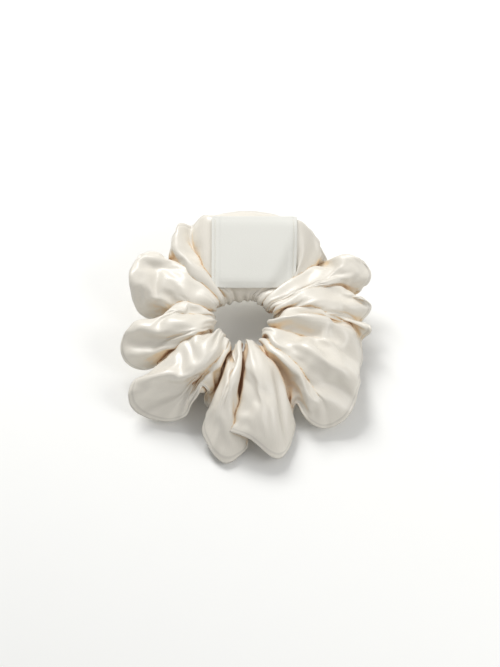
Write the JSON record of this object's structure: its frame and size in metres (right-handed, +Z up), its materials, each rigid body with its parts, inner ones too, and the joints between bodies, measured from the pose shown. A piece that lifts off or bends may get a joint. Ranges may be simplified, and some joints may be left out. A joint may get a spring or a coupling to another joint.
{
  "type": "hair scrunchie",
  "caption": "Gathered satin hair tie: a puffed fabric sleeve over an elastic loop, with a blank matte label panel, that pulls open round hair.",
  "frame": {"origin": "on the table, under the middle of the whole scrunchie's box as it lies flat", "axes": "+Z up along the axis of the hair opening; +Y towards the label panel, which lies at the back; +X to the right seen from the front"},
  "size_m": [0.1196, 0.1214, 0.0397],
  "materials": {
    "satin": "ivory polyester satin, soft sheen, gathered",
    "label_twill": "matte ivory twill, blank",
    "sewing_thread": "twisted ivory polyester sewing thread",
    "elastic_braid": "white braided elastic"
  },
  "bodies": {
    "back": {"sleeve_back_half": "satin", "label_panel": "label_twill", "label_stitch_left": "sewing_thread", "label_stitch_right": "sewing_thread", "closing_seam_thread": "sewing_thread", "elastic_band": "elastic_braid", "elastic_joint_thread": "sewing_thread", "long_seam_thread": "sewing_thread"},
    "front": {"sleeve_front_half": "satin"}
  },
  "joints": [
    {"name": "stretch", "type": "slide", "parent": "back", "child": "front", "axis": [0, -1, 0], "range_m": [0, 0.055], "stiffness_N_per_m": 80, "deforming": ["elastic_band", "long_seam_thread"]}
  ]
}
